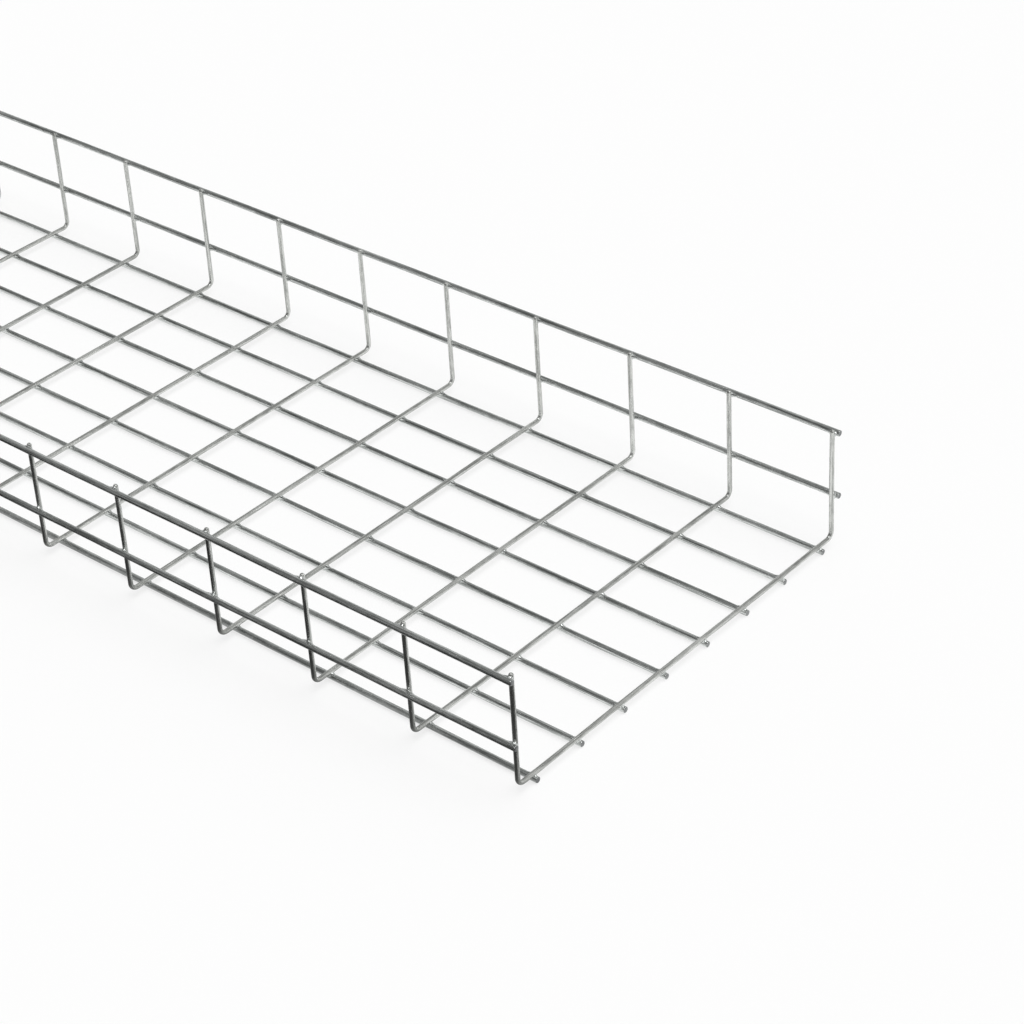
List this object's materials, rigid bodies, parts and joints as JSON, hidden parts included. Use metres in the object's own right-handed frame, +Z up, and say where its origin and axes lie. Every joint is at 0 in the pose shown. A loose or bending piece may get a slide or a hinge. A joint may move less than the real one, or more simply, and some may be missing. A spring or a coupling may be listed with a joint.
{
  "type": "wire mesh cable basket",
  "caption": "Welded wire mesh cable basket: straight longitudinal wires outside U-bent cross wires form an open trough that carries cables.",
  "frame": {"origin": "middle of the length and of the width, at the underside of the floor wires", "axes": "+X along the tray towards the end with cross_wire_01, +Y across it towards the right side wall, +Z up out of the open trough"},
  "size_m": [3.009, 0.3972, 0.1066],
  "materials": {
    "longitudinal_wire": "zinc-coated drawn steel wire, satin, with fine lengthwise draw lines",
    "cross_wire": "zinc-coated drawn steel wire, satin, bent cold, with bright welds"
  },
  "bodies": {
    "root": {"floor_wire_1": "longitudinal_wire", "floor_wire_2": "longitudinal_wire", "floor_wire_3": "longitudinal_wire", "floor_wire_4": "longitudinal_wire", "floor_wire_5": "longitudinal_wire", "floor_wire_6": "longitudinal_wire", "floor_wire_7": "longitudinal_wire", "floor_wire_8": "longitudinal_wire", "left_mid_wire": "longitudinal_wire", "left_top_wire": "longitudinal_wire", "right_mid_wire": "longitudinal_wire", "right_top_wire": "longitudinal_wire", "cross_wire_01": "cross_wire", "cross_wire_02": "cross_wire", "cross_wire_03": "cross_wire", "cross_wire_04": "cross_wire", "cross_wire_05": "cross_wire", "cross_wire_06": "cross_wire", "cross_wire_07": "cross_wire", "cross_wire_08": "cross_wire", "cross_wire_09": "cross_wire", "cross_wire_10": "cross_wire", "cross_wire_11": "cross_wire", "cross_wire_12": "cross_wire", "cross_wire_13": "cross_wire", "cross_wire_14": "cross_wire", "cross_wire_15": "cross_wire", "cross_wire_16": "cross_wire", "cross_wire_17": "cross_wire", "cross_wire_18": "cross_wire", "cross_wire_19": "cross_wire", "cross_wire_20": "cross_wire", "cross_wire_21": "cross_wire", "cross_wire_22": "cross_wire", "cross_wire_23": "cross_wire", "cross_wire_24": "cross_wire", "cross_wire_25": "cross_wire", "cross_wire_26": "cross_wire", "cross_wire_27": "cross_wire", "cross_wire_28": "cross_wire", "cross_wire_29": "cross_wire", "cross_wire_30": "cross_wire", "cross_wire_31": "cross_wire"}
  },
  "joints": []
}
